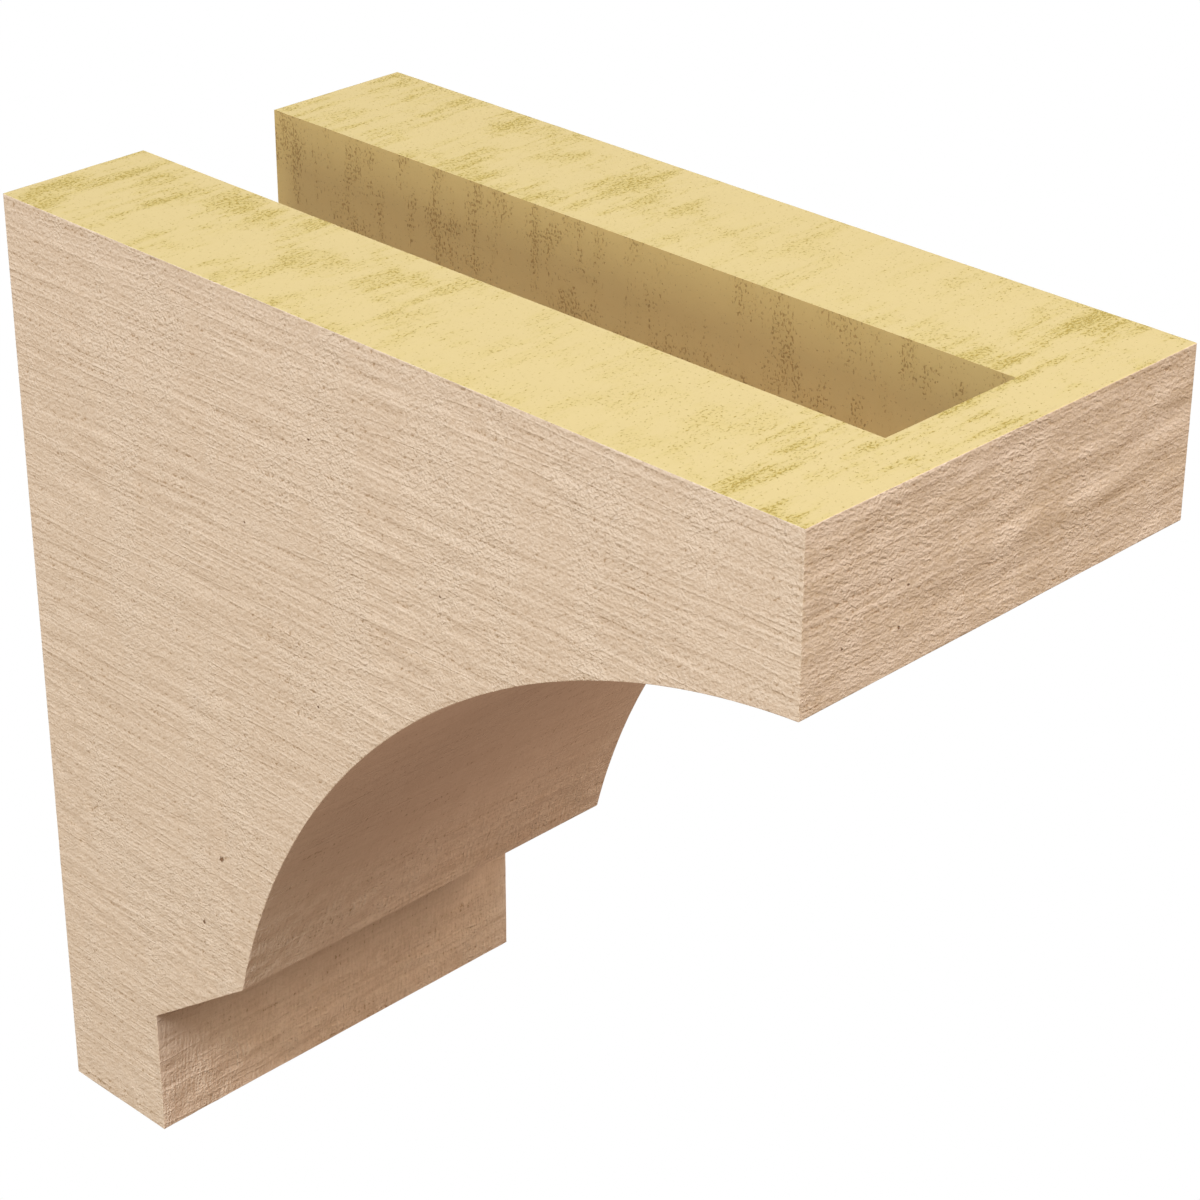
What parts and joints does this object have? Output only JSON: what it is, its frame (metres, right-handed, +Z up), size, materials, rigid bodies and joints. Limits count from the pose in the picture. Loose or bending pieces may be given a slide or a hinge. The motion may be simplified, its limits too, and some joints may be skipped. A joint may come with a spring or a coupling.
{
  "type": "faux timber corbel",
  "caption": "Rough-sawn faux-timber corbel with a square nose, a hollow cove and a small foot. Its slot, open at the top and back, slips over a timber bracket.",
  "frame": {"origin": "on the wall plane and the centre line, in the middle of the solid web under the slot", "axes": "+Y points into the wall, so the nose points to -Y; +Z is up; X runs across the corbel"},
  "size_m": [0.1524, 0.3048, 0.3048],
  "materials": {
    "primed_foam": "rigid polyurethane foam, moulded with a rough-sawn timber grain and primed a matt tan; bare yellow foam on the top, on the back and in the slot"
  },
  "bodies": {
    "root": {"corbel": "primed_foam"}
  },
  "joints": []
}
